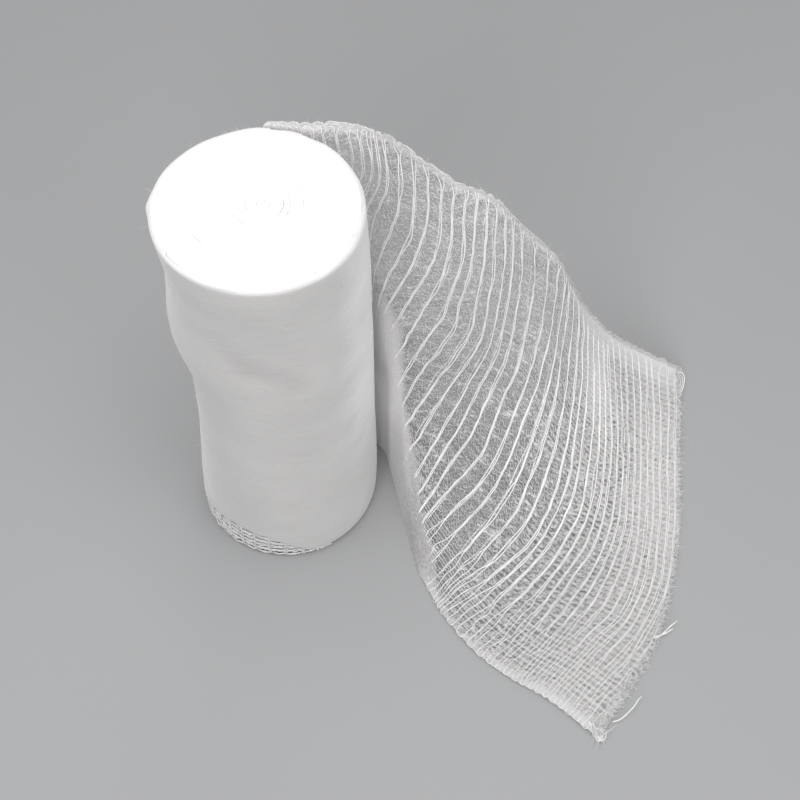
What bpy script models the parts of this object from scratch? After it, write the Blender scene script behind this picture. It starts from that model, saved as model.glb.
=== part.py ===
"""Gauze bandage roll, standing on its end, with its loose end twisting down to lie on the surface.

The frame's origin is on the roll's axis, at its base. Z is up, and the roll stands along it. The loose end leaves
the back of the roll towards +X, first upright, and turns over until it lies flat, its cut end to the right.
"""

import math

import bpy
from mathutils import Vector

# Driving sizes, in millimetres.
GAUZE_WIDTH = 75.0  # width of the strip, and so the height of the roll
LAYER = 0.35  # one wound layer, the step where the loose end leaves
SHEET_THICKNESS = 1.0  # the loose end, as a solid sheet
PIECE_GAP = 0.35  # between the winding and the loose end
BASE_ROUND = 1.2  # rounding of the outer turns at the base
RIM_ROUND = 2.0  # softer rounding of the outer turns at the top
TURN_RELIEF = 0.35  # height of the ridges that the turns make in the top face
TURN_SPACING = 4.4  # between those ridges
LEAVING_ANGLE_TOP = 88.0  # where the loose end leaves the roll, from +X towards +Y, at the top
LEAVING_ANGLE_BASE = 60.0  # the same at the base

ROUND_STEPS = 48  # facets round the winding
HEIGHT_STEPS = 22  # rows of facets up its side
LENGTH_STEPS = 38  # facets along the loose end
WIDTH_STEPS = 24  # facets across it

# The winding's radius to each side of the axis, a row for each height: a full rim at the back left, a soft dent
# across the front, a bulge and then a waist on the left, and a fuller foot.
WINDING_COLUMNS = ("height", "right", "back", "left", "front")
WINDING = (
    (0.0, 15.7, 15.5, 15.5, 15.8),
    (8.0, 15.9, 15.6, 15.1, 15.8),
    (17.0, 15.9, 15.6, 14.5, 15.7),
    (24.0, 15.8, 15.6, 14.1, 15.5),
    (30.0, 15.8, 15.6, 13.9, 15.4),
    (36.0, 15.8, 15.6, 13.8, 15.4),
    (41.0, 15.8, 15.7, 14.0, 15.5),
    (45.0, 15.8, 15.7, 14.9, 15.6),
    (49.0, 15.7, 15.7, 15.9, 15.5),
    (53.0, 15.7, 15.7, 16.1, 15.1),
    (58.0, 15.7, 15.7, 15.6, 14.9),
    (65.0, 15.5, 15.7, 15.2, 15.5),
    (70.0, 15.3, 15.7, 15.8, 15.9),
    (75.0, 15.1, 15.7, 16.6, 15.8),
)

# Sections across the loose end, from where it leaves the roll to the cut end. Each goes from the upper selvage, the
# head, by three points on the way, to the lower selvage, the foot. Along is its place along the strip's length.
SECTION_COLUMNS = ("along", "head", "upper", "middle", "lower", "foot")
SECTIONS = (
    (0.00, (0.6, 16.6, 75), (2.6, 16.4, 56), (4.6, 16.0, 37), (6.6, 15.4, 19), (8.4, 14.4, 0)),
    (0.13, (14.6, 14.5, 75), (14.4, 13.2, 57), (14.0, 12.1, 39), (13.6, 11.2, 20), (13.0, 10.8, 0)),
    (0.20, (19.8, 11.0, 74.6), (17.9, 10.4, 55), (16.5, 8.8, 38), (16.8, 7.4, 19), (16.9, 6.6, 0)),
    (0.27, (23.9, 8.8, 73.2), (23.1, 8.4, 55), (18.9, 8.0, 38), (18.1, 5.2, 19), (18.1, 2.4, 0)),
    (0.33, (27.9, 7.2, 70.8), (27.5, 6.2, 54), (22.7, 7.0, 37), (19.7, 4.4, 19), (19.1, -1.8, 0)),
    (0.39, (31.3, 7.2, 69.4), (31.1, 5.6, 52), (27.1, 5.4, 35), (21.7, 4.0, 19), (20.4, -7.6, 0)),
    (0.45, (34.4, 7.1, 66.8), (34.6, 6.4, 48), (31.2, 5.4, 30), (24.6, 2.0, 13), (21.7, -13.2, 0)),
    (0.52, (38.9, 7.9, 60), (39.3, 8.3, 43), (36.6, 6.0, 24), (28.6, -1.6, 8), (23.3, -18.8, 0.4)),
    (0.565, (44.7, 10.0, 50.6), (44.3, 9.6, 32), (40.4, 1.6, 16.5), (32.4, -8.4, 6), (25.2, -22.8, 0.4)),
    (0.61, (47.7, 12.6, 41.4), (47.3, 9.8, 22), (42.6, -3.4, 11), (35.2, -13.6, 4.6), (27.2, -26.6, 0.5)),
    (0.68, (52.0, 17.0, 28.6), (52.6, 8.6, 13), (49.6, -6.6, 6), (42.0, -18.4, 2.4), (32.0, -33.2, 0.5)),
    (0.77, (57.2, 19.4, 18.6), (58.4, 5.6, 6.6), (56.0, -11.0, 2.4), (48.2, -24.4, 1.1), (38.2, -38.6, 0.5)),
    (0.88, (64.6, 22.2, 9), (64.8, 6.5, 2.6), (62.2, -11.5, 1.0), (55.4, -26.2, 0.5), (44.6, -42.6, 0.5)),
    (1.00, (73.4, 24.0, 0.5), (71.4, 5.6, 0.5), (69.0, -15.0, 0.5), (63.4, -33.6, 0.5), (52.9, -49.9, 0.5)),
)

GAUZE_WHITE = (0.86, 0.86, 0.86, 1.0)
LOOSE_WHITE = (0.80, 0.80, 0.81, 1.0)


def metres(point):
    return Vector(point) * 0.001


def clear_scene():
    for obj in list(bpy.data.objects):
        bpy.data.objects.remove(obj, do_unlink=True)


def cloth_material(name, colour, roughness):
    material = bpy.data.materials.new(name)
    material.use_nodes = True
    shader = material.node_tree.nodes["Principled BSDF"]
    shader.inputs["Base Color"].default_value = colour
    shader.inputs["Roughness"].default_value = roughness
    shader.inputs["Metallic"].default_value = 0.0
    return material


def new_solid(name, points, faces, material):
    """One closed mesh object, its origin at the frame's origin, shaded smooth."""
    mesh = bpy.data.meshes.new(name)
    mesh.from_pydata([metres(p) for p in points], [], faces)
    mesh.materials.append(material)
    mesh.shade_smooth()
    mesh.set_sharp_from_angle(angle=math.radians(50))
    obj = bpy.data.objects.new(name, mesh)
    bpy.context.scene.collection.objects.link(obj)
    return obj


def smooth_step(t):
    return t * t * (3.0 - 2.0 * t)


def spline(values, places, at):
    """A smooth curve through values, given at places, read at one place. Values are vectors or numbers."""
    k = 0
    while k < len(places) - 2 and at > places[k + 1]:
        k += 1

    def slope(i):
        lo, hi = max(i - 1, 0), min(i + 1, len(places) - 1)
        return (values[hi] - values[lo]) / (places[hi] - places[lo])

    span = places[k + 1] - places[k]
    t = min(max((at - places[k]) / span, 0.0), 1.0)
    start, end = slope(k) * span, slope(k + 1) * span
    return (
        values[k] * (2 * t**3 - 3 * t**2 + 1)
        + start * (t**3 - 2 * t**2 + t)
        + values[k + 1] * (3 * t**2 - 2 * t**3)
        + end * (t**3 - t**2)
    )


def leaving_angle(height):
    part = min(max(height / GAUZE_WIDTH, 0.0), 1.0)
    return math.radians(LEAVING_ANGLE_BASE + (LEAVING_ANGLE_TOP - LEAVING_ANGLE_BASE) * part)


def winding_radius(angle, height):
    """The winding's outer radius, eased from side to side, with one layer's step where the loose end leaves."""
    heights = [row[0] for row in WINDING]
    quarter = (angle % math.tau) / (math.pi / 2)
    side = int(quarter) % 4
    near = spline([row[1 + side] for row in WINDING], heights, height)
    far = spline([row[1 + (side + 1) % 4] for row in WINDING], heights, height)
    mix = smooth_step(quarter - int(quarter))
    behind = ((leaving_angle(height) - angle) % math.tau) / math.tau
    return near + (far - near) * mix - LAYER * (1.0 - behind) * 0.5


def build_winding():
    rings = []
    for inset, height in ((BASE_ROUND, 0.0), (BASE_ROUND * 0.3, BASE_ROUND * 0.3)):
        rings.append((inset, height))
    low, high = BASE_ROUND, GAUZE_WIDTH - RIM_ROUND
    for i in range(HEIGHT_STEPS + 1):
        rings.append((0.0, low + (high - low) * i / HEIGHT_STEPS))
    for part in (0.35, 0.7, 0.92):
        inset = RIM_ROUND * (1.0 - math.sqrt(1.0 - part * part))
        rings.append((inset, high + RIM_ROUND * part))

    points, faces = [], []
    for inset, height in rings:
        for k in range(ROUND_STEPS):
            angle = math.tau * k / ROUND_STEPS
            radius = winding_radius(angle, height) - inset
            points.append((radius * math.cos(angle), radius * math.sin(angle), height))

    # The top face, where the turns' edges stand in a spiral of soft ridges.
    top_rings = 7
    for i in range(top_rings):
        for k in range(ROUND_STEPS):
            angle = math.tau * k / ROUND_STEPS
            outer = winding_radius(angle, GAUZE_WIDTH) - RIM_ROUND * 0.9
            radius = outer * (1.0 - i / top_rings)
            phase = math.tau * radius / TURN_SPACING - angle
            height = GAUZE_WIDTH - TURN_RELIEF * 0.5 * (1.0 + math.cos(phase)) * min(1.0, radius / 5.0)
            points.append((radius * math.cos(angle), radius * math.sin(angle), height))

    count = len(rings) + top_rings
    for i in range(count - 1):
        for k in range(ROUND_STEPS):
            a, b = i * ROUND_STEPS + k, i * ROUND_STEPS + (k + 1) % ROUND_STEPS
            faces.append((a, b, b + ROUND_STEPS, a + ROUND_STEPS))
    faces.append(tuple(reversed(range(ROUND_STEPS))))
    peak = len(points)
    points.append((0.0, 0.0, GAUZE_WIDTH - 0.1))
    last = (count - 1) * ROUND_STEPS
    for k in range(ROUND_STEPS):
        faces.append((last + k, last + (k + 1) % ROUND_STEPS, peak))
    return new_solid("wound_roll", points, faces, cloth_material("wound_gauze", GAUZE_WHITE, 0.9))


def even_section(section, count):
    """Points evenly apart along the smooth curve from the section's head to its foot."""
    knots = [Vector(p) for p in section[1:]]
    places = [float(i) for i in range(len(knots))]
    fine = [spline(knots, places, places[-1] * i / 160) for i in range(161)]
    run = [0.0]
    for a, b in zip(fine, fine[1:]):
        run.append(run[-1] + (b - a).length)
    out, k = [], 0
    for i in range(count + 1):
        want = run[-1] * i / count
        while k < len(fine) - 2 and run[k + 1] < want:
            k += 1
        part = (want - run[k]) / (run[k + 1] - run[k])
        out.append(fine[k].lerp(fine[k + 1], min(max(part, 0.0), 1.0)))
    return out


def clear_of_winding(point):
    """Moves a point of the sheet's middle out until the sheet's inner face is a gap away from the winding."""
    if point.z > GAUZE_WIDTH + 5.0:
        return point
    angle, radius = math.atan2(point.y, point.x), math.hypot(point.x, point.y)
    least = winding_radius(angle, point.z) + LAYER * 0.5 + PIECE_GAP + SHEET_THICKNESS * 0.5
    if radius >= least:
        return point
    return Vector((least * math.cos(angle), least * math.sin(angle), point.z))


def sheet_middle():
    """The loose end's middle surface: rows along its length, each from head to foot."""
    sections = [even_section(row, WIDTH_STEPS) for row in SECTIONS]
    places = [row[0] for row in SECTIONS]
    grid = []
    for i in range(LENGTH_STEPS + 1):
        at = i / LENGTH_STEPS
        row = [spline([s[j] for s in sections], places, at) for j in range(WIDTH_STEPS + 1)]
        grid.append([clear_of_winding(p) for p in row])
    return grid


def sheet_normal(grid, i, j):
    along = grid[min(i + 1, LENGTH_STEPS)][j] - grid[max(i - 1, 0)][j]
    across = grid[i][min(j + 1, WIDTH_STEPS)] - grid[i][max(j - 1, 0)]
    return across.cross(along).normalized()


def build_loose_end():
    grid = sheet_middle()
    half = SHEET_THICKNESS * 0.5
    rows, cols = LENGTH_STEPS + 1, WIDTH_STEPS + 1
    points = []
    for side in (1.0, -1.0):
        for i in range(rows):
            for j in range(cols):
                p = grid[i][j] + sheet_normal(grid, i, j) * (half * side)
                points.append((p.x, p.y, max(p.z, 0.0)))

    def at(side, i, j):
        return side * rows * cols + i * cols + j

    faces = []
    for i in range(rows - 1):
        for j in range(cols - 1):
            faces.append((at(0, i, j), at(0, i, j + 1), at(0, i + 1, j + 1), at(0, i + 1, j)))
            faces.append((at(1, i, j), at(1, i + 1, j), at(1, i + 1, j + 1), at(1, i, j + 1)))
    for i in range(rows - 1):
        faces.append((at(0, i, 0), at(0, i + 1, 0), at(1, i + 1, 0), at(1, i, 0)))
        faces.append((at(0, i + 1, cols - 1), at(0, i, cols - 1), at(1, i, cols - 1), at(1, i + 1, cols - 1)))
    for j in range(cols - 1):
        faces.append((at(0, 0, j + 1), at(0, 0, j), at(1, 0, j), at(1, 0, j + 1)))
        faces.append((at(0, rows - 1, j), at(0, rows - 1, j + 1), at(1, rows - 1, j + 1), at(1, rows - 1, j)))
    return new_solid("loose_end", points, faces, cloth_material("loose_gauze", LOOSE_WHITE, 0.9))


clear_scene()
build_winding()
build_loose_end()
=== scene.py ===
"""Looks of the gauze bandage roll: the wound roll, the loose end with its yarns, materials, floor, light and camera.

Everything is worked out in millimetres in the CAD frame and written to meshes in metres. The loose end follows the
CAD sheet's sections. Its weft yarns lie across the strip in pairs, each pair one turn of a yarn that loops round the
selvages, and its crimped warp yarns run along the strip between them.
"""

import math

import bpy
import numpy as np
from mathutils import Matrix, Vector


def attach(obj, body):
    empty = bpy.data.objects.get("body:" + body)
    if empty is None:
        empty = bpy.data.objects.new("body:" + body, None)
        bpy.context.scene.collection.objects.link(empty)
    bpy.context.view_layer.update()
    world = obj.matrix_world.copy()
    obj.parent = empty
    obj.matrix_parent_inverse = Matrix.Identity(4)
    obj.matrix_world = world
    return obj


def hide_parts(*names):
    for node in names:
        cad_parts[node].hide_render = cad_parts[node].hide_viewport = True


MM = 0.001
rng = np.random.default_rng(20417)

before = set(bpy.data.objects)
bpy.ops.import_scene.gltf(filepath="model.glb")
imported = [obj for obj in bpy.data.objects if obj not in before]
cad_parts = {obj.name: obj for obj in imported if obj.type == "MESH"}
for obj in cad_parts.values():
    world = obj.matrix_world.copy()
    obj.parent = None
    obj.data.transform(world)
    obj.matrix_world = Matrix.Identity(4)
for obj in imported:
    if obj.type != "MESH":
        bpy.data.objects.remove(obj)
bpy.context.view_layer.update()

# ---------------------------------------------------------------------------------------------------------------
# The strip and the roll, as in the CAD.

GAUZE_WIDTH = 75.0
LAYER = 0.35
SHEET_THICKNESS = 1.0
PIECE_GAP = 0.35
BASE_ROUND = 1.2
RIM_ROUND = 2.0
LEAVING_ANGLE_TOP = 88.0
LEAVING_ANGLE_BASE = 60.0
WIDTH_STEPS = 24

WINDING_COLUMNS = ("height", "right", "back", "left", "front")
WINDING = np.array(
    (
        (0.0, 15.7, 15.5, 15.5, 15.8),
        (8.0, 15.9, 15.6, 15.1, 15.8),
        (17.0, 15.9, 15.6, 14.5, 15.7),
        (24.0, 15.8, 15.6, 14.1, 15.5),
        (30.0, 15.8, 15.6, 13.9, 15.4),
        (36.0, 15.8, 15.6, 13.8, 15.4),
        (41.0, 15.8, 15.7, 14.0, 15.5),
        (45.0, 15.8, 15.7, 14.9, 15.6),
        (49.0, 15.7, 15.7, 15.9, 15.5),
        (53.0, 15.7, 15.7, 16.1, 15.1),
        (58.0, 15.7, 15.7, 15.6, 14.9),
        (65.0, 15.5, 15.7, 15.2, 15.5),
        (70.0, 15.3, 15.7, 15.8, 15.9),
        (75.0, 15.1, 15.7, 16.6, 15.8),
    )
)

SECTION_COLUMNS = ("along", "head", "upper", "middle", "lower", "foot")
SECTIONS = (
    (0.00, (0.6, 16.6, 75), (2.6, 16.4, 56), (4.6, 16.0, 37), (6.6, 15.4, 19), (8.4, 14.4, 0)),
    (0.13, (14.6, 14.5, 75), (14.4, 13.2, 57), (14.0, 12.1, 39), (13.6, 11.2, 20), (13.0, 10.8, 0)),
    (0.20, (19.8, 11.0, 74.6), (17.9, 10.4, 55), (16.5, 8.8, 38), (16.8, 7.4, 19), (16.9, 6.6, 0)),
    (0.27, (23.9, 8.8, 73.2), (23.1, 8.4, 55), (18.9, 8.0, 38), (18.1, 5.2, 19), (18.1, 2.4, 0)),
    (0.33, (27.9, 7.2, 70.8), (27.5, 6.2, 54), (22.7, 7.0, 37), (19.7, 4.4, 19), (19.1, -1.8, 0)),
    (0.39, (31.3, 7.2, 69.4), (31.1, 5.6, 52), (27.1, 5.4, 35), (21.7, 4.0, 19), (20.4, -7.6, 0)),
    (0.45, (34.4, 7.1, 66.8), (34.6, 6.4, 48), (31.2, 5.4, 30), (24.6, 2.0, 13), (21.7, -13.2, 0)),
    (0.52, (38.9, 7.9, 60), (39.3, 8.3, 43), (36.6, 6.0, 24), (28.6, -1.6, 8), (23.3, -18.8, 0.4)),
    (0.565, (44.7, 10.0, 50.6), (44.3, 9.6, 32), (40.4, 1.6, 16.5), (32.4, -8.4, 6), (25.2, -22.8, 0.4)),
    (0.61, (47.7, 12.6, 41.4), (47.3, 9.8, 22), (42.6, -3.4, 11), (35.2, -13.6, 4.6), (27.2, -26.6, 0.5)),
    (0.68, (52.0, 17.0, 28.6), (52.6, 8.6, 13), (49.6, -6.6, 6), (42.0, -18.4, 2.4), (32.0, -33.2, 0.5)),
    (0.77, (57.2, 19.4, 18.6), (58.4, 5.6, 6.6), (56.0, -11.0, 2.4), (48.2, -24.4, 1.1), (38.2, -38.6, 0.5)),
    (0.88, (64.6, 22.2, 9), (64.8, 6.5, 2.6), (62.2, -11.5, 1.0), (55.4, -26.2, 0.5), (44.6, -42.6, 0.5)),
    (1.00, (73.4, 24.0, 0.5), (71.4, 5.6, 0.5), (69.0, -15.0, 0.5), (63.4, -33.6, 0.5), (52.9, -49.9, 0.5)),
)

# How many pairs of weft yarn lie between the place where the strip leaves the roll and each place along it.
WEFT_COLUMNS = ("along", "pairs")
WEFTS = (
    (0.0, 0.4),
    (0.13, 8.0),
    (0.20, 11.5),
    (0.27, 14.0),
    (0.33, 16.0),
    (0.39, 18.0),
    (0.45, 20.0),
    (0.52, 23.2),
    (0.61, 28.0),
    (0.68, 31.3),
    (0.725, 33.6),
    (0.77, 36.2),
    (0.88, 41.6),
    (1.0, 47.0),
)

# How far the wefts have slid along the strip, in pairs, at nine places across it. The pull of the unwound strip
# leaves them slack in the middle and drawn back towards the roll at the lower selvage.
SLIDE_COLUMNS = ("pair", "head", "at_12", "at_25", "at_40", "at_55", "at_70", "at_82", "at_92", "foot")
SLIDE_ACROSS = (0.0, 0.12, 0.25, 0.40, 0.55, 0.70, 0.82, 0.92, 1.0)
SLIDES = np.array(
    (
        (0, 0.0, 0.0, 0.0, 0.0, 0.0, 0.0, 0.0, 0.0, 0.0),
        (8, -0.3, -0.3, -1.6, -2.3, -2.8, -3.1, -3.4, -3.6, -3.8),
        (11, -1.2, -0.3, -1.9, -2.6, -3.0, -3.4, -3.8, -4.1, -4.3),
        (12, -0.6, 0.1, -0.3, -1.9, -2.9, -3.5, -4.0, -4.4, -4.6),
        (13, -0.2, 0.3, 0.1, -1.0, -2.8, -3.6, -4.2, -4.6, -4.9),
        (14, -0.1, 0.3, 0.0, -0.5, -2.3, -3.7, -4.4, -4.9, -5.2),
        (16, 0.0, 0.0, 0.0, -0.1, -0.7, -2.9, -4.6, -5.3, -5.7),
        (18, 0.0, -0.1, -0.1, 0.1, -0.1, -0.7, -3.3, -4.8, -5.4),
        (20, -0.1, -0.2, -0.1, 0.2, -0.1, -0.2, -1.5, -3.3, -4.6),
        (22, 0.0, 0.0, 0.1, 0.2, 0.3, 0.5, -0.7, -2.6, -4.0),
        (24, 0.0, 0.0, 0.1, 0.2, 0.3, 0.5, -0.5, -2.3, -3.7),
        (26, 0.0, 0.0, 0.1, 0.1, 0.1, 0.4, -0.4, -1.5, -2.6),
        (28, 0.0, 0.0, 0.1, 0.4, 0.4, 0.6, 0.1, -0.7, -1.5),
        (30, 0.0, -0.1, 0.0, 0.1, 0.2, 0.4, -0.3, -1.2, -2.0),
        (32, 0.0, -0.2, -0.3, -0.3, -0.2, -0.2, -0.8, -1.4, -2.0),
        (36, 0.0, -0.3, -0.4, -0.2, -0.3, -0.2, -0.5, -1.0, -1.5),
        (41, 0.0, -0.2, -0.3, -0.1, 0.6, 1.1, 0.1, -0.5, -0.9),
        (47, 0.0, 0.0, 0.0, 0.0, 0.0, -0.5, -1.0, -1.5, -1.7),
    )
)

# Yarns, in millimetres.
WEFT_RADIUS = 0.108
WARP_RADIUS = 0.062
WARP_PITCH = 0.54
CRIMP_LENGTH = 0.95  # one wave of a warp
CRIMP_STEPS = 5
WRAP = 0.07  # how far, along the strip, the loose end's yarns run on over the back of the roll
WRAP_LENGTH = 100.0  # millimetres of strip in one unit of along, there
RIB = 1.08  # towards the cut end the warps lie in ribs this far apart
CUT_PAIR = 46.45  # wefts past this count run out of the cut end

# Where the smooth, close part of the strip beside the roll ends: how far along at each place across.
VEIL_COLUMNS = ("across", "along")
VEIL = (
    (0.28, 0.16),
    (0.34, 0.203),
    (0.43, 0.241),
    (0.51, 0.292),
    (0.60, 0.313),
    (0.71, 0.353),
    (0.75, 0.392),
    (0.80, 0.419),
    (0.84, 0.455),
    (0.90, 0.485),
    (0.92, 0.527),
    (0.94, 0.557),
    (0.955, 0.587),
    (0.97, 0.611),
    (0.98, 0.643),
    (1.0, 0.69),
)


def spline(values, places, at):
    """A smooth curve through values, given at places, read at many places at once."""
    values, places, at = np.asarray(values, float), np.asarray(places, float), np.asarray(at, float)
    slope = np.empty_like(values)
    last = len(places) - 1
    for i in range(last + 1):
        lo, hi = max(i - 1, 0), min(i + 1, last)
        slope[i] = (values[hi] - values[lo]) / (places[hi] - places[lo])
    k = np.clip(np.searchsorted(places, at, side="left") - 1, 0, last - 1)
    span = places[k + 1] - places[k]
    t = np.clip((at - places[k]) / span, 0.0, 1.0)
    shape = t.shape + (1,) * (values.ndim - 1)
    t, span = t.reshape(shape), span.reshape(shape)
    return (
        values[k] * (2 * t**3 - 3 * t**2 + 1)
        + slope[k] * span * (t**3 - 2 * t**2 + t)
        + values[k + 1] * (3 * t**2 - 2 * t**3)
        + slope[k + 1] * span * (t**3 - t**2)
    )


def ease(t):
    t = np.clip(t, 0.0, 1.0)
    return t * t * (3.0 - 2.0 * t)


def leaving_angle(height):
    part = np.clip(height / GAUZE_WIDTH, 0.0, 1.0)
    return np.radians(LEAVING_ANGLE_BASE + (LEAVING_ANGLE_TOP - LEAVING_ANGLE_BASE) * part)


def winding_radius(angle, height):
    """The winding's outer radius, for arrays of angles and heights of the same shape."""
    angle, height = np.broadcast_arrays(np.asarray(angle, float), np.asarray(height, float))
    sides = np.stack([spline(WINDING[:, 1 + i], WINDING[:, 0], height) for i in range(4)], -1)
    quarter = (angle % math.tau) / (math.pi / 2)
    side = quarter.astype(int) % 4
    near = np.take_along_axis(sides, side[..., None], -1)[..., 0]
    far = np.take_along_axis(sides, ((side + 1) % 4)[..., None], -1)[..., 0]
    behind = ((leaving_angle(height) - angle) % math.tau) / math.tau
    return near + (far - near) * ease(quarter - np.floor(quarter)) - LAYER * (1.0 - behind) * 0.5


def even_section(section, count):
    """Points evenly apart along the smooth curve from a section's head to its foot."""
    knots = np.array(section[1:], float)
    fine = spline(knots, np.arange(len(knots)), np.linspace(0, len(knots) - 1, 161))
    run = np.concatenate([[0.0], np.cumsum(np.linalg.norm(np.diff(fine, axis=0), axis=1))])
    want = np.linspace(0, run[-1], count + 1)
    return np.stack([np.interp(want, run, fine[:, i]) for i in range(3)], -1)


# ---------------------------------------------------------------------------------------------------------------
# The loose end's middle surface, as a fine grid that yarns are laid on.

GRID_S0, GRID_S1, GRID_S = -WRAP, 1.04, 286
GRID_U0, GRID_U1, GRID_U = -0.03, 1.03, 213


def tail_grid():
    """Points of the sheet's middle, rows along the strip from where it lies on the roll to past the cut end, each
    from above the upper selvage, u = 0, to below the lower one, u = 1."""
    sections = np.array([even_section(row, WIDTH_STEPS) for row in SECTIONS])
    places = [row[0] for row in SECTIONS]
    s = np.linspace(GRID_S0, GRID_S1, GRID_S)
    inner = np.clip(s, 0.0, 1.0)
    rows = spline(sections, places, inner)  # s, width, 3
    u = np.linspace(GRID_U0, GRID_U1, GRID_U)
    at = np.clip(u, 0.0, 1.0) * WIDTH_STEPS
    k = np.clip(at.astype(int), 0, WIDTH_STEPS - 1)
    part = (at - k)[None, :, None]
    grid = rows[:, k] * (1 - part) + rows[:, k + 1] * part
    # Near the roll the yarns lie closer to it than the middle of the CAD's thicker sheet.
    angle, radius = np.arctan2(grid[..., 1], grid[..., 0]), np.hypot(grid[..., 0], grid[..., 1])
    under = winding_radius(angle, grid[..., 2])
    least = under + LAYER * 0.5 + PIECE_GAP + SHEET_THICKNESS * 0.5
    radius = np.maximum(radius, least)
    rise = radius - under
    closer = 0.34 + 0.66 * ease(inner / 0.16)[:, None]
    near = np.clip(1.6 - rise / 3.0, 0.0, 1.0)
    radius = under + rise * (1 - near * (1 - closer))
    grid[..., 0], grid[..., 1] = radius * np.cos(angle), radius * np.sin(angle)
    # On over the back of the roll.
    for i in np.flatnonzero(s < 0):
        first = grid[np.searchsorted(s, 0.0)]
        start = np.arctan2(first[:, 1], first[:, 0])
        turn = start - s[i] * WRAP_LENGTH / 15.9
        out = winding_radius(turn, first[:, 2]) + 0.34 - 0.5 * ease(-s[i] / WRAP)
        # Its upper edge turns in with the roll's rim.
        over = np.exp(-np.maximum(GAUZE_WIDTH - first[:, 2], 0.0) / 1.6) * ease(-s[i] * WRAP_LENGTH / 2.5)
        grid[i] = np.stack(
            [(out - 1.5 * over) * np.cos(turn), (out - 1.5 * over) * np.sin(turn), first[:, 2] - 1.6 * over], -1
        )
    # On past the cut end.
    end = np.flatnonzero(s <= 1.0)[-1]
    step = grid[end] - grid[end - 1]
    for i in range(end + 1, GRID_S):
        grid[i] = grid[end] + step * (i - end)
    # On past the selvages.
    low, high = np.flatnonzero(u >= 0)[0], np.flatnonzero(u <= 1)[-1]
    for j in range(low):
        grid[:, j] = grid[:, low] + (grid[:, low] - grid[:, low + 1]) * (low - j)
    for j in range(high + 1, GRID_U):
        grid[:, j] = grid[:, high] + (grid[:, high] - grid[:, high - 1]) * (j - high)
    return grid


TAIL = tail_grid()
_along = np.gradient(TAIL, axis=0)
_across = np.gradient(TAIL, axis=1)
TAIL_NORMAL = np.cross(_along, _across)
TAIL_NORMAL /= np.linalg.norm(TAIL_NORMAL, axis=-1, keepdims=True)
# The side that faces up, and out of the roll.
if TAIL_NORMAL[GRID_S // 2, GRID_U // 2, 2] < 0:
    TAIL_NORMAL = -TAIL_NORMAL


def on_grid(grid, s, u):
    x = (np.asarray(s) - GRID_S0) / (GRID_S1 - GRID_S0) * (GRID_S - 1)
    y = (np.asarray(u) - GRID_U0) / (GRID_U1 - GRID_U0) * (GRID_U - 1)
    x, y = np.clip(x, 0, GRID_S - 1.001), np.clip(y, 0, GRID_U - 1.001)
    i, j = x.astype(int), y.astype(int)
    a, b = (x - i)[..., None], (y - j)[..., None]
    return (
        grid[i, j] * (1 - a) * (1 - b)
        + grid[i + 1, j] * a * (1 - b)
        + grid[i, j + 1] * (1 - a) * b
        + grid[i + 1, j + 1] * a * b
    )


def on_tail(s, u, lift=0.0):
    lift = np.broadcast_to(np.asarray(lift, float), np.shape(np.asarray(s) + np.asarray(u)))
    return on_grid(TAIL, s, u) + on_grid(TAIL_NORMAL, s, u) * lift[..., None]


def wander(length, knots, size, seed=None):
    """A smooth random wave: size is its typical height, knots the number of bends along it."""
    source = rng if seed is None else np.random.default_rng(seed)
    count = max(int(knots), 1) + 3
    values = source.normal(0, size, count + 1)
    return spline(values, np.arange(count + 1), np.linspace(0, count, length))


# ---------------------------------------------------------------------------------------------------------------
# Meshes.


def mesh_object(name, points, quads, material, smooth=True, uv=None, maps=(), values=()):
    """A mesh object from arrays: points in millimetres, faces as an array or a list of index rows."""
    mesh = bpy.data.meshes.new(name)
    points = np.asarray(points, np.float32) * MM
    if isinstance(quads, np.ndarray):
        quads = [quads]
    loops = np.concatenate([q.reshape(-1) for q in quads]).astype(np.int32)
    sizes = np.concatenate([np.full(len(q), q.shape[1]) for q in quads]).astype(np.int32)
    starts = np.concatenate([[0], np.cumsum(sizes)[:-1]]).astype(np.int32)
    mesh.vertices.add(len(points))
    mesh.vertices.foreach_set("co", points.ravel())
    mesh.loops.add(len(loops))
    mesh.loops.foreach_set("vertex_index", loops)
    mesh.polygons.add(len(sizes))
    mesh.polygons.foreach_set("loop_start", starts)
    mesh.polygons.foreach_set("loop_total", sizes)
    mesh.polygons.foreach_set("use_smooth", np.full(len(sizes), smooth))
    for label, data in maps:
        layer = mesh.uv_layers.new(name=label, do_init=False)
        layer.uv.foreach_set("vector", np.asarray(data, np.float32).ravel())
    for label, data in values:
        attribute = mesh.attributes.new(label, "FLOAT", "POINT")
        attribute.data.foreach_set("value", np.asarray(data, np.float32).ravel())
    mesh.materials.append(material)
    mesh.update(calc_edges=True)
    mesh.validate()
    obj = bpy.data.objects.new(name, mesh)
    bpy.context.scene.collection.objects.link(obj)
    return obj


def grid_faces(rows, cols, wrap=False):
    i, j = np.meshgrid(np.arange(rows - 1), np.arange(cols if wrap else cols - 1), indexing="ij")
    k = (j + 1) % cols
    return np.stack([i * cols + j, i * cols + k, (i + 1) * cols + k, (i + 1) * cols + j], -1).reshape(-1, 4)


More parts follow.
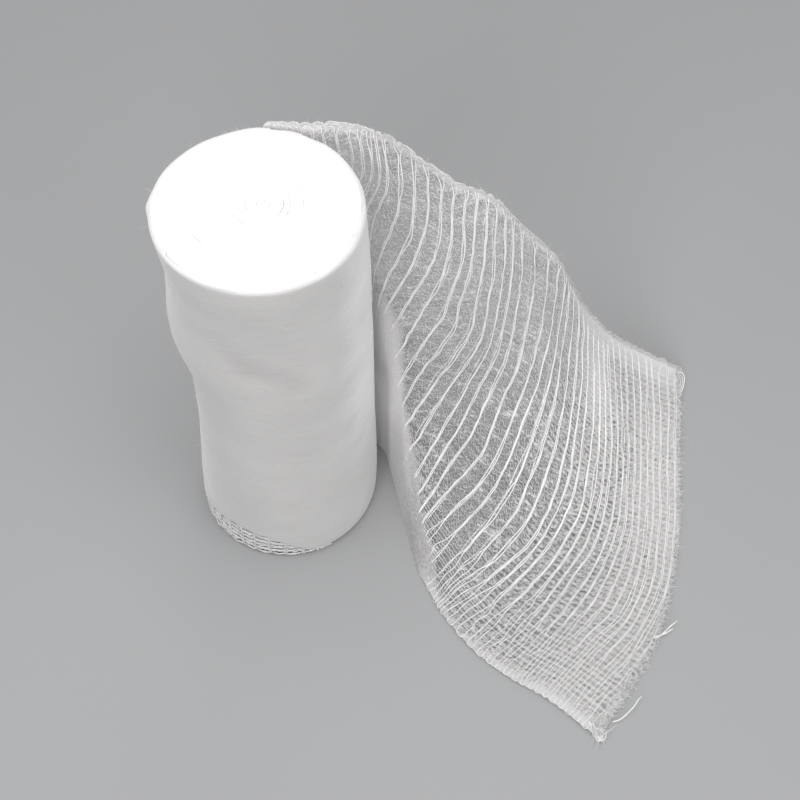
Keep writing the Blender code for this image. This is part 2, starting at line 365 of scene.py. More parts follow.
def strands_object(name, strands, material, sides=4):
    """One mesh of many yarns. Each is (points, radius, reference): the line it follows, its radius at each point,
    and a direction at each point that isn't along the line. Its map lays each yarn out as one row."""
    all_points, all_quads, all_caps, uvs, cap_uvs, shades = [], [], [], [], [], []
    base, total = 0, len(strands)
    turn = np.arange(sides) * math.tau / sides
    for index, (line, radius, reference) in enumerate(strands):
        n = len(line)
        tangent = np.gradient(line, axis=0)
        tangent /= np.maximum(np.linalg.norm(tangent, axis=1, keepdims=True), 1e-9)
        first = np.cross(tangent, reference)
        first /= np.maximum(np.linalg.norm(first, axis=1, keepdims=True), 1e-9)
        second = np.cross(tangent, first)
        size = np.broadcast_to(np.asarray(radius, float), (n,))[:, None, None]
        ring = first[:, None] * np.cos(turn)[None, :, None] + second[:, None] * np.sin(turn)[None, :, None]
        points = (line[:, None] + ring * size).reshape(-1, 3)
        all_points.append(points)
        quads = grid_faces(n, sides, wrap=True) + base
        all_quads.append(quads)
        all_caps.append(np.arange(sides)[::-1][None] + base)
        all_caps.append(np.arange(sides)[None] + base + (n - 1) * sides)
        i, j = np.meshgrid(np.arange(n - 1), np.arange(sides), indexing="ij")
        x0, x1 = i / (n - 1), (i + 1) / (n - 1)
        y0, y1 = (index + 0.06 + 0.88 * j / sides) / total, (index + 0.06 + 0.88 * (j + 1) / sides) / total
        uvs.append(
            np.stack([np.stack([x0, x0, x1, x1], -1), np.stack([y0, y1, y1, y0], -1)], -1).reshape(-1, 2)
        )
        for x in (0.0, 1.0):
            corner = np.stack([x + (0.5 - x) * 0.01 * np.cos(turn), (index + 0.5 + 0.4 * np.sin(turn)) / total], -1)
            cap_uvs.append(corner)
        shades.append(np.full(len(points), (index * 0.61803) % 1.0))
        base += len(points)
    quads = np.concatenate(all_quads)
    caps = np.concatenate(all_caps)
    uv = np.concatenate(uvs + cap_uvs) * 0.98 + 0.01
    points = np.concatenate(all_points)
    points[:, 2] = np.maximum(points[:, 2], 0.01)
    return mesh_object(
        name, points, [quads, caps], material, maps=[("OFBake", uv)], values=[("yarn", np.concatenate(shades))]
    )


# ---------------------------------------------------------------------------------------------------------------
# Materials.


class Nodes:
    """Short helpers for building one material's node tree."""

    def __init__(self, name):
        self.material = bpy.data.materials.new(name)
        self.material.use_nodes = True
        self.tree = self.material.node_tree
        self.shader = self.tree.nodes["Principled BSDF"]
        self.output = self.tree.nodes["Material Output"]

    def add(self, kind, **settings):
        node = self.tree.nodes.new(kind)
        for key, value in settings.items():
            setattr(node, key, value)
        return node

    def link(self, a, b):
        self.tree.links.new(a, b)

    def coords(self, kind="Object", scale=(1, 1, 1), uv=None, turn=0.0):
        if uv:
            source = self.add("ShaderNodeUVMap", uv_map=uv).outputs["UV"]
        else:
            source = self.add("ShaderNodeTexCoord").outputs[kind]
        if turn:
            turned = self.add("ShaderNodeMapping")
            turned.inputs["Rotation"].default_value = (0.0, 0.0, math.radians(turn))
            self.link(source, turned.inputs["Vector"])
            source = turned.outputs["Vector"]
        mapping = self.add("ShaderNodeMapping")
        mapping.inputs["Scale"].default_value = scale
        self.link(source, mapping.inputs["Vector"])
        return mapping.outputs["Vector"]

    def noise(self, vector, scale, detail=2.0, roughness=0.5, distortion=0.0):
        node = self.add("ShaderNodeTexNoise")
        node.inputs["Scale"].default_value = scale
        node.inputs["Detail"].default_value = detail
        node.inputs["Roughness"].default_value = roughness
        node.inputs["Distortion"].default_value = distortion
        self.link(vector, node.inputs["Vector"])
        return node.outputs["Fac"]

    def wave(self, vector, scale, direction="X", distortion=0.0, detail=1.0, detail_scale=1.0):
        node = self.add("ShaderNodeTexWave", bands_direction=direction)
        node.inputs["Scale"].default_value = scale
        node.inputs["Distortion"].default_value = distortion
        node.inputs["Detail"].default_value = detail
        node.inputs["Detail Scale"].default_value = detail_scale
        self.link(vector, node.inputs["Vector"])
        return node.outputs["Fac"]

    def range(self, value, low, high, to_low, to_high, smooth=False):
        node = self.add("ShaderNodeMapRange")
        if smooth:
            node.interpolation_type = "SMOOTHSTEP"
        for key, number in (("From Min", low), ("From Max", high), ("To Min", to_low), ("To Max", to_high)):
            node.inputs[key].default_value = number
        self.link(value, node.inputs["Value"])
        return node.outputs["Result"]

    def math(self, operation, a, b=None):
        node = self.add("ShaderNodeMath", operation=operation)
        for socket, value in zip(node.inputs, (a, b)):
            if value is None:
                continue
            if isinstance(value, (int, float)):
                socket.default_value = value
            else:
                self.link(value, socket)
        return node.outputs["Value"]

    def ramp(self, value, *stops):
        node = self.add("ShaderNodeValToRGB")
        while len(node.color_ramp.elements) < len(stops):
            node.color_ramp.elements.new(0.5)
        for element, (place, colour) in zip(node.color_ramp.elements, stops):
            element.position = place
            element.color = (*colour, 1.0)
        self.link(value, node.inputs["Fac"])
        return node.outputs["Color"]

    def attribute(self, name):
        return self.add("ShaderNodeAttribute", attribute_name=name).outputs["Fac"]

    def bump(self, height, strength, distance):
        node = self.add("ShaderNodeBump")
        node.inputs["Strength"].default_value = strength
        node.inputs["Distance"].default_value = distance
        self.link(height, node.inputs["Height"])
        self.link(node.outputs["Normal"], self.shader.inputs["Normal"])

    def cloth(self, sheen=0.25):
        for key, value in (
            ("Metallic", 0.0),
            ("IOR", 1.46),
            ("Specular IOR Level", 0.25),
            ("Sheen Weight", sheen),
            ("Sheen Roughness", 0.6),
        ):
            self.shader.inputs[key].default_value = value


def yarn_material(name, dark, light, bump_mm, sheen):
    """Twisted cotton yarn: fine plies along it, a little colour from yarn to yarn and place to place."""
    n = Nodes(name)
    n.cloth(sheen)
    fine = n.noise(n.coords(), 9000.0, 3.0, 0.6)
    broad = n.noise(n.coords(), 260.0, 2.0)
    mix = n.math("ADD", n.math("MULTIPLY", fine, 0.55), n.math("MULTIPLY", broad, 0.3))
    mix = n.math("ADD", mix, n.math("MULTIPLY", n.attribute("yarn"), 0.15))
    n.link(n.ramp(mix, (0.25, dark), (0.75, light)), n.shader.inputs["Base Color"])
    n.link(n.range(fine, 0.3, 0.7, 0.78, 0.95), n.shader.inputs["Roughness"])
    n.bump(fine, 0.5, bump_mm * MM)
    return n.material


def roll_material():
    """The outer turns: rows of warp yarn round the roll, faint wefts up it, and soft fluff over both."""
    n = Nodes("wound_gauze_cloth")
    n.cloth(0.5)
    rows = n.noise(n.coords(uv="weave", scale=(0.22, 2.4, 1)), 1.0, 3.0, 0.6)
    threads = n.noise(n.coords(uv="weave", scale=(1.5, 4.2, 1)), 1.0, 2.0, 0.6)
    patches = n.noise(n.coords(uv="weave", scale=(0.08, 0.13, 1)), 1.0, 2.0)
    fluff = n.noise(n.coords(), 5200.0, 3.0, 0.65)
    height = n.math("ADD", n.math("MULTIPLY", rows, 0.45), n.math("MULTIPLY", threads, 0.35))
    height = n.math("ADD", height, n.math("MULTIPLY", fluff, 0.2))
    tone = n.math("ADD", n.math("MULTIPLY", height, 0.5), n.math("MULTIPLY", patches, 0.25))
    # Painted shade: darker in the recessed open selvage at the foot and along the dent across the front.
    tone = n.math("SUBTRACT", tone, n.math("MULTIPLY", n.attribute("hollow"), 0.25))
    # Painted light: the top face and the rim painted much paler than the side.
    tone = n.math("ADD", tone, n.math("MULTIPLY", n.attribute("crown"), 0.6))
    # Painted light: the cloth painted paler at the roll's right and left sides of the front.
    tone = n.math("ADD", tone, n.math("MULTIPLY", n.attribute("sides"), 0.42))
    n.link(
        n.ramp(
            tone,
            (0.0, (0.40, 0.39, 0.385)),
            (0.28, (0.49, 0.48, 0.475)),
            (0.48, (0.56, 0.55, 0.545)),
            (0.85, (0.90, 0.89, 0.885)),
        ),
        n.shader.inputs["Base Color"],
    )
    n.link(n.range(height, 0.3, 0.7, 0.82, 0.96), n.shader.inputs["Roughness"])
    n.bump(height, 0.55, 0.16 * MM)
    return n.material


def haze_material():
    """The fluff and finest fibres between the yarns: strokes along the strip, with small holes."""
    n = Nodes("loose_gauze_fluff")
    n.cloth(0.2)
    strokes = n.noise(n.coords(uv="weave", scale=(0.85, 2.4, 1), turn=32.0), 1.0, 3.0, 0.66, 0.6)
    cross = n.noise(n.coords(uv="weave", scale=(2.4, 1.5, 1)), 1.0, 3.0, 0.62, 0.3)
    broad = n.noise(n.coords(uv="weave", scale=(0.12, 0.12, 1)), 1.0, 1.0)
    body = n.math("ADD", n.math("MULTIPLY", strokes, 0.70), n.math("MULTIPLY", cross, 0.30))
    cover = n.math("ADD", body, n.math("MULTIPLY", n.math("SUBTRACT", broad, 0.5), 0.15))
    dense = n.attribute("dense")
    cover = n.math("ADD", cover, n.math("MULTIPLY", dense, 0.30))
    opening = n.range(cover, 0.45, 0.62, 0.0, 1.0, smooth=True)
    most = n.math("ADD", 0.70, n.math("MULTIPLY", n.math("MAXIMUM", dense, 0.0), 0.22))
    opening = n.math("MULTIPLY", opening, n.math("MINIMUM", most, 0.96))
    n.link(n.math("MULTIPLY", opening, n.attribute("present")), n.shader.inputs["Alpha"])
    even = n.math("MINIMUM", n.math("MAXIMUM", dense, 0.0), 1.0)
    lively = n.math("SUBTRACT", 2.1, n.math("MULTIPLY", even, 1.8))
    tone = n.math("ADD", n.math("MULTIPLY", n.math("SUBTRACT", body, 0.5), lively), 0.55)
    tone = n.math("ADD", tone, n.math("MULTIPLY", even, 0.08))
    ribs = n.wave(n.coords(uv="weave"), 0.31416 / RIB, "Y", 1.2, 2.0, 1.0)
    ribs = n.math("MULTIPLY", n.math("SUBTRACT", ribs, 0.6), n.attribute("ribbed"))
    tone = n.math("ADD", tone, n.math("MULTIPLY", ribs, 0.08))
    # Painted light and shade, laid on the sheet's points, lighten and darken the fluff here.
    tone = n.math("ADD", tone, n.attribute("pale"))
    # Soft darker rows along the strip, on its open part.
    rows = n.noise(n.coords(uv="weave", scale=(0.11, 0.62, 1), turn=24.0), 1.0, 1.0)
    rows = n.math("MULTIPLY", n.math("SUBTRACT", rows, 0.52), n.math("SUBTRACT", 1.0, even))
    open_part = n.range(n.attribute("ribbed"), 0.15, 0.45, 1.1, 0.0)
    tone = n.math("ADD", tone, n.math("MULTIPLY", rows, open_part))
    # Painted shade: the dark end of this ramp, down to 0.22, darkens the fluff's strokes to stand for shade between the
    # fibres.
    n.link(
        n.ramp(
            tone,
            (0.32, (0.22, 0.215, 0.215)),
            (0.52, (0.56, 0.55, 0.55)),
            (0.72, (0.86, 0.85, 0.85)),
            (0.95, (0.95, 0.94, 0.94)),
        ),
        n.shader.inputs["Base Color"],
    )
    n.link(n.range(strokes, 0.3, 0.7, 0.82, 0.97), n.shader.inputs["Roughness"])
    n.bump(n.math("MULTIPLY", body, n.math("SUBTRACT", 1.15, n.math("MULTIPLY", even, 0.8))), 0.6, 0.12 * MM)
    return n.material


WEFT_CLOTH = yarn_material("weft_yarn", (0.87, 0.86, 0.856), (0.955, 0.947, 0.942), 0.03, 0.3)
WARP_CLOTH = yarn_material("warp_yarn", (0.62, 0.61, 0.61), (0.80, 0.79, 0.79), 0.02, 0.2)
FIBRE_CLOTH = yarn_material("loose_fibre", (0.85, 0.85, 0.85), (0.95, 0.95, 0.95), 0.01, 0.2)
ROLL_CLOTH = roll_material()
HAZE_CLOTH = haze_material()

# ---------------------------------------------------------------------------------------------------------------
# The loose end's wefts.

PAIRS = np.array([row[1] for row in WEFTS])
PLACES = np.array([row[0] for row in WEFTS])
WEFT_NUMBERS = np.arange(1, 49)


def slide(number, u):
    """How far the wefts have slid at a place counted in wefts, u of the way across, in pairs."""
    number, u = np.broadcast_arrays(np.asarray(number, float), np.asarray(u, float))
    row = spline(SLIDES[:, 1:], SLIDES[:, 0], number)
    share = spline(np.eye(len(SLIDE_ACROSS)), SLIDE_ACROSS, u)
    return (row * share).sum(-1)


def weft_place(number, u):
    """Where along the strip a weft lies."""
    number = np.asarray(number, float)
    return spline(PLACES, PAIRS, np.clip(number + slide(number, u), -4.0, 48.5))


def pitch_at(number, u):
    """Millimetres from one pair to the next."""
    gap = on_tail(weft_place(number + 0.5, u), u) - on_tail(weft_place(number - 0.5, u), u)
    return np.linalg.norm(gap, axis=-1)


def upper_lobe(number):
    """How far the upper selvage stands out between two weft pairs, in millimetres."""
    return min(0.48 * float(pitch_at(number + 0.5, 0.0)), 1.15) * rng.uniform(0.6, 1.2) * min(1.0, 0.3 + 0.2 * number)


LOBES = np.array([upper_lobe(i) for i in range(50)])
# About one pair in three lies inside a lobe instead of in the notch between two.
NOTCHES = LOBES * np.where(rng.uniform(0, 1, 50) < 0.35, rng.uniform(0.75, 0.95, 50), rng.uniform(0.0, 0.30, 50))
FEET = rng.uniform(0.10, 0.34, 50) + np.where(np.arange(50) > 27, 0.09, 0.0)


def veil(s, u, start=0.025, width=0.06):
    """1 where the strip, turned edge on beside the roll, lies close and smooth and its wefts sink into it."""
    edge = np.interp(u, [row[0] for row in VEIL], [row[1] for row in VEIL])
    soft = ease((edge + start - s) / width) * ease((u - 0.37) / 0.14) * ease((s - 0.09) / 0.08)
    return soft * (1 - ease((s - 0.51) / 0.10))


def faint(s, u):
    """Between 0 and 1: how far the wefts sink into the fluff, beside the roll and along the upper selvage."""
    patch = 0.5 * np.exp(-(((s - 0.715) / 0.055) ** 2)) * (1 - ease((u - 0.12) / 0.25))
    border = 0.6 * ease((s - 0.58) / 0.1) * (1 - ease((u - 0.015) / 0.06))
    return np.maximum(veil(s, u), np.clip(patch + border, 0, 0.9))


def head_out(number):
    """The lobed outline of the upper selvage at a place counted in wefts, in millimetres outside u = 0."""
    number = np.clip(np.asarray(number, float), 0.0, 48.99)
    cell = np.floor(number).astype(int)
    part = number - cell
    notch = NOTCHES[cell] * (1 - part) + NOTCHES[cell + 1] * part
    return notch + (LOBES[cell] - notch) * np.clip(4 * part * (1 - part), 0, 1) ** 0.6


def foot_out(number):
    """The finer scallops of the lower selvage."""
    number = np.clip(np.asarray(number, float) + 0.5, 0.0, 48.99)
    cell = np.floor(number).astype(int)
    part = number - cell
    return FEET[cell] * np.clip(4 * part * (1 - part), 0, 1) ** 0.5


def weft_strands():
    """Each pair's two strands of the one yarn: over the lobe from the pair before, down the strip, round a small
    loop at the lower selvage, up again and over the next lobe."""
    strands = []
    steps, ends = 170, 9
    u = np.linspace(0.004, 0.997, steps)
    drift = np.array([wander(steps, 7, 0.08) for _ in range(14)])
    for number in WEFT_NUMBERS:
        near = spline(drift, np.arange(14), number / 4.0)
        middle = number + near + rng.normal(0, 0.04) + wander(steps, 12, 0.045) + wander(steps, 34, 0.020)
        calm = ease(u / 0.02) * ease((1 - u) / 0.02)
        middle = number + (middle - number) * calm
        pitch = np.maximum(pitch_at(np.minimum(middle, 45.0), u), 0.6)
        # Half the distance between the pair's strands, in pitches: touching, with openings here and there; a fork
        # at the upper selvage, and parted evenly near the lower one.
        touch = (0.105 + 0.02 * np.cos(wander(steps, 10, 2.0))) / pitch
        opening = np.clip(wander(steps, 9, 1.0) - 0.5, 0.0, 1.3) * 0.15 / pitch
        reach = rng.uniform(0.02, 0.07)
        fork = rng.uniform(0.13, 0.22) * (1 - ease(u / reach)) ** 1.4
        spread = rng.uniform(0.66, 0.84) + 0.11 * (1 - ease((number - 22) / 8))
        part = 0.25 * ease((u - spread) / rng.uniform(0.10, 0.16))
        half = np.minimum(np.maximum(touch + opening, np.maximum(fork, part)), 0.27)
        # Finer, and deeper in the cloth, where the strands part and towards the cut end.
        slim = (1 - 0.25 * ease((u - spread) / 0.1)) * (1 - 0.30 * ease((number - 31) / 7))
        lift = (0.15 + wander(steps, 24, 0.03)) * (1 - 0.55 * ease((u - spread) / 0.1)) * (1 - 0.60 * ease((number - 31) / 7))
        over = wander(steps, 7, 0.06)
        for sign in (-1.0, 1.0):
            own = (0.004 + 0.05 * ease((u - spread) / 0.1)) * calm
            line_number = middle + sign * half + own * wander(steps, 30, 1.0)
            # Over half the lobe at the head, and half the loop at the foot.
            t = np.linspace(1, 0, ends, endpoint=False)
            head_number = line_number[0] + (number + sign * 0.5 - line_number[0]) * t**1.2
            head = head_out(head_number) * 0.8 / GAUZE_WIDTH
            head_u = u[0] * (1 - ease(t * 1.6)) - head * ease(t * 1.6)
            foot_number = number + (line_number[-1] - number) * np.cos(t[::-1] * math.pi / 2)
            foot_u = 1.0 + FEET[min(number, 49)] * np.sin(t[::-1] * math.pi / 2) / GAUZE_WIDTH
            numbers = np.concatenate([head_number, line_number, foot_number])
            across = np.concatenate([head_u, u, foot_u])
            rise = -0.17 + (lift[0] + 0.17) * ease((np.arange(ends) / ends - 0.45) / 0.55)
            heights = np.concatenate([rise, lift + sign * over, np.linspace(lift[-1] * 0.6, -0.06, ends)])
            places = weft_place(numbers, across)
            sunk = faint(places, across)
            numbers = number + (numbers - number) * (1 - 0.5 * veil(places, across))
            places = weft_place(numbers, across)
            line = on_tail(places, across, heights * (1 - sunk) - 0.13 * sunk)
            radius = WEFT_RADIUS * (1.0 + wander(len(numbers), 60, 0.14)) * (1 - 0.3 * sunk)
            radius = np.clip(radius, 0.06, 0.15) * np.concatenate(
                [np.linspace(0.3, 0.6, ends), (0.65 + 0.35 * ease(u / 0.03)) * slim, np.linspace(0.65, 0.5, ends)]
            )
            # Only the part that lies before the cut end.
            inside = numbers + slide(numbers, across) < CUT_PAIR
            first = len(inside) - np.argmin(inside[::-1]) if not inside.all() else 0
            if len(inside) - first < 12:
                continue
            line, radius, away = line[first:], radius[first:], on_grid(TAIL_NORMAL, places, across)[first:]
            strands.append((line, radius, away))
    return strands


def weft_backs():
    """The same pairs as they show on the strip's other side, below the fluff."""
    strands = []
    steps = 64
    u = np.linspace(0.008, 0.992, steps)
    for number in WEFT_NUMBERS:
        numbers = number + wander(steps, 7, 0.06) + wander(steps, 14, 0.04)
        places = weft_place(numbers, u)
        line = on_tail(places, u, -0.19 + wander(steps, 14, 0.02))
        radius = np.clip(0.13 * (1 + wander(steps, 30, 0.15)), 0.09, 0.17) * (0.5 + 0.5 * ease(u / 0.02))
        radius = radius * (0.75 + 0.25 * ease((0.9 - u) / 0.1))
        away = on_grid(TAIL_NORMAL, places, u)
        inside = (numbers + slide(numbers, u) < CUT_PAIR) & (places > 0.02)
        if inside.sum() < 8:
            continue
        first, last = np.flatnonzero(inside)[0], np.flatnonzero(inside)[-1] + 1
        strands.append((line[first:last], radius[first:last], away[first:last]))
    return strands


def selvage_strands():
    """Fine yarns that fill the lobes of the upper selvage, side by side inside its outline."""
    strands = []
    count = 640
    number = np.linspace(0.1, 47.3, count)
    for inset, size in ((0.06, 0.07), (0.20, 0.06), (0.36, 0.06), (0.52, 0.06), (0.70, 0.055)):
        reach = head_out(number)
        out = np.maximum(reach * (1 - inset) - 0.2 * inset, -0.4) + wander(count, 200, 0.04)
        line = on_tail(weft_place(number, 0.0), -out / GAUZE_WIDTH, 0.03 + wander(count, 150, 0.06))
        radius = np.clip(size * (1 + wander(count, 150, 0.2)), 0.04, 0.1)
        strands.append((line, radius, on_grid(TAIL_NORMAL, weft_place(number, 0.0), 0 * number)))
    return strands


# ---------------------------------------------------------------------------------------------------------------
# The loose end's warps.


def warp_rows():
    """Each warp's place across the strip and how crimped it is: crowded and calm at the selvages."""
    places = [0.0, 0.004, 0.0085, 0.0135]
    while places[-1] < 0.84:
        places.append(places[-1] + WARP_PITCH / GAUZE_WIDTH * rng.uniform(0.86, 1.14))
    while places[-1] < 0.962:
        places.append(places[-1] + 0.72 / GAUZE_WIDTH * rng.uniform(0.92, 1.08))
    u = places[-1]
    while u < 0.998:
        u += 0.33 / GAUZE_WIDTH
        places.append(min(u, 0.999))
    return np.array(places)


WARPS = warp_rows()


def warp_strand(u0):
    start, end = -WRAP * 0.98, rng.uniform(0.984, 1.003)
    coarse = np.linspace(start, end, 420)
    lobe_in = np.exp(-u0 * GAUZE_WIDTH / 1.3)
    number = np.interp(coarse, PLACES, PAIRS)
    u = u0 - head_out(number) / GAUZE_WIDTH * lobe_in * 0.85 + foot_out(number) / GAUZE_WIDTH * 0.6 * (u0 > 0.992)
    path = on_tail(coarse, u)
    run = np.concatenate([[0.0], np.cumsum(np.linalg.norm(np.diff(path, axis=0), axis=1))])
    length = run[-1]
    count = int(length / CRIMP_LENGTH * CRIMP_STEPS)
    at = np.linspace(0, length, count)
    place = np.interp(at, run, coarse)
    across = np.interp(at, run, u)
    # In ribs of two or so, closest towards the cut end.
    ribbed = (0.20 + 0.80 * ease((place - 0.56) / 0.16)) * (0.02 < u0 < 0.95)
    centre = (math.floor(u0 * GAUZE_WIDTH / RIB) + 0.5) * RIB
    across = across + (centre + math.copysign(0.15, u0 * GAUZE_WIDTH - centre) - u0 * GAUZE_WIDTH) / GAUZE_WIDTH * ribbed
    # Calm towards both selvages, and lively in between.
    lively = ease((u0 - 0.004) / 0.03) * (1 - 0.80 * ease((u0 - 0.80) / 0.10)) + 0.25 * (u0 > 0.965)
    phase = math.tau * at / CRIMP_LENGTH + rng.uniform(0, math.tau) + wander(count, length / 4.0, 1.6)
    swing = (0.05 + 0.19 * lively) * (1 + 0.35 * wander(count, length / 3.0, 1.0)) * np.sin(phase)
    swing += (0.04 + 0.12 * lively) * np.sin(phase * 1.63 + wander(count, length / 3.0, 1.5))
    swing += wander(count, length / 6.0, 0.05 + 0.07 * lively)
    height = (0.05 + 0.11 * lively) * np.sin(phase * 0.81 + 1.3 + wander(count, length / 4.0, 1.0)) - 0.04
    sunk = faint(place, across)
    swing *= (1 - 0.7 * sunk) * (1 - 0.6 * ribbed)
    height = height * (1 - 0.8 * sunk) - 0.11 * sunk
    line = on_tail(place, across + swing / GAUZE_WIDTH, height)
    size = WARP_RADIUS + 0.022 * ease((u0 - 0.82) / 0.06) * (u0 < 0.965)
    radius = np.clip(size * (1 + wander(count, length / 1.2, 0.16)), 0.04, 0.11)
    return line, radius, on_grid(TAIL_NORMAL, place, across)


# ---------------------------------------------------------------------------------------------------------------
# The sheet of fluff that the yarns lie in.


def fluff_sheet():
    rows, cols = 190, 120
    s = np.linspace(-WRAP * 0.9, 1.0, rows)[:, None] * np.ones((1, cols))
    u = np.linspace(0.0, 1.0, cols)[None] * np.ones((rows, 1))
    number = np.interp(s, PLACES, PAIRS)
    fall = np.exp(-u * GAUZE_WIDTH / 2.0)
    u = u - head_out(number) / GAUZE_WIDTH * fall * 0.95 + foot_out(number) / GAUZE_WIDTH * (u > 0.999) * 0.7
    points = on_tail(s, u, -0.05)
    points[..., 2] = np.maximum(points[..., 2], 0.05)
    inward = GAUZE_WIDTH * (1 - u)
    # Close along both selvages and towards the cut end, and most of all in the smooth parts.
    dense = 0.30 * np.exp(-((inward / 1.6) ** 2)) + 0.9 * np.exp(-GAUZE_WIDTH * np.maximum(u, 0) / 1.2)
    dense += 0.30 * ease((s - 0.58) / 0.16) + 0.32 * ease((s - 0.78) / 0.12)
    dense -= 0.20 * ease((inward - 2.6) / 1.5) * (1 - ease((inward - 9.0) / 6.0)) * (1 - ease((s - 0.55) / 0.1))
    dense += 1.5 * faint(s, np.clip(u, 0, 1))
    dense += 0.9 * veil(s, np.clip(u, 0, 1), 0.07, 0.12) * (1 - faint(s, np.clip(u, 0, 1)))
    dense += 1.0 * (1 - ease((s + 0.015) / 0.12))
    # Felted along the lower selvage where the strip turns over and lies down.
    felted = np.exp(-((inward / 1.3) ** 2)) * ease((s - 0.48) / 0.1)
    dense += 0.35 * felted
    # Its colour: lighter deep in the narrow space beside the roll, painted light where it lies in shade, and painted
    # shade over the rest of the smooth part, most past a third of the way along; paler along the upper selvage and
    # where felted; painted light on the upper part of the standing strip and where it runs over and off the roll;
    # painted shade over the rest of the open part.
    smooth = veil(s, np.clip(u, 0, 1))
    deep = ease((u - 0.66) / 0.16) * (1 - ease((s - 0.24) / 0.08))
    pale = smooth * (0.30 * deep - 0.05 - 0.16 * ease((s - 0.33) / 0.12))
    pale += 0.08 * np.exp(-GAUZE_WIDTH * np.maximum(u, 0) / 1.5) + 0.08 * felted
    pale += 0.08 * (1 - ease((u - 0.25) / 0.3)) * ease((s - 0.24) / 0.1) * (1 - ease((s - 0.58) / 0.1))
    pale += 0.20 * (1 - ease((s + 0.02) / 0.12))
    pale -= 0.05 * ease((s - 0.10) / 0.06) * (1 - ease((s - 0.30) / 0.15)) * (1 - smooth)
    pale -= 0.08 * ease((s - 0.12) / 0.1) * (1 - smooth) * (1 - 0.5 * ease((s - 0.58) / 0.1))
    pale -= 0.09 * ease((u - 0.40) / 0.25) * ease((s - 0.30) / 0.1) * (1 - smooth) * (1 - 0.3 * ease((s - 0.7) / 0.15))
    ribbed = (0.15 * (1 - smooth) * ease((s - 0.02) / 0.1) + 0.85 * ease((s - 0.60) / 0.14)) * ease((u - 0.01) / 0.03)
    ribbed *= 1 - 0.6 * ease((u - 0.93) / 0.05)
    ragged = 0.988 + 0.010 * row_noise(cols, 4, 2.0, 2.0, 0.5, 21)[:, 0]
    present = ease((s + WRAP * 0.9) / (WRAP * 0.9)) * ease((ragged[None] - s) / 0.006 + 0.5)
    faces = grid_faces(rows, cols)
    flat = np.stack([s, np.linspace(0.0, 1.0, cols)[None] * np.ones((rows, 1))], -1).reshape(-1, 2)
    weave = flat * np.array([100.0, GAUZE_WIDTH])
    bake = (flat - flat.min(0)) / np.ptp(flat, axis=0) * 0.98 + 0.01
    loops = faces.reshape(-1)
    return mesh_object(
        "loose_end_gauze",
        points.reshape(-1, 3),
        faces,
        HAZE_CLOTH,
        maps=[("OFBake", bake[loops]), ("weave", weave[loops])],
        values=[
            ("dense", dense.ravel()),
            ("pale", pale.ravel()),
            ("ribbed", ribbed.ravel()),
            ("present", present.ravel()),
        ],
    )


# ---------------------------------------------------------------------------------------------------------------
# The wound roll.

ROLL_COLUMNS = 240
ROLL_ROWS = 190


def row_noise(rows, columns, spacing, reach, size, seed):
    """Irregular rows: heights that change fast from row to row, and slowly round the roll."""
    source = np.random.default_rng(seed)
    knots_z, knots_a = max(int(rows / spacing), 2), max(int(columns / reach), 2)
    values = source.normal(0, size, (knots_z + 1, knots_a))
    values = np.concatenate([values, values[:, :1]], axis=1)
    z = spline(values, np.arange(knots_z + 1), np.linspace(0, knots_z, rows))
    return spline(z.T, np.arange(knots_a + 1), np.arange(columns) * knots_a / columns).T


# How far up the roll's foot the open selvage of an inner turn shows below the outer turn, round the front.
FOOT_COLUMNS = ("degrees", "height")
FOOT = np.array(
    (
        (174, 0.0),
        (190, 2.3),
        (204, 4.2),
        (219, 5.7),
        (230, 6.6),
        (242, 7.1),
        (255, 6.5),
        (265, 5.5),
        (273, 4.1),
        (281, 2.5),
        (292, 1.0),
        (302, 0.0),
    ),
    float,
)


def foot_height(angle):
    return np.interp(np.degrees(angle) % 360.0, FOOT[:, 0], FOOT[:, 1])


def selvage_sector(angle, height):
    """1 in the open selvage at the roll's front left foot."""
    top = foot_height(angle) + 0.16 * np.sin(angle * 31.0) + 0.12 * np.sin(angle * 57.0 + 1.0)
    return ease((top - height) / 0.45) * ease(top / 0.8)


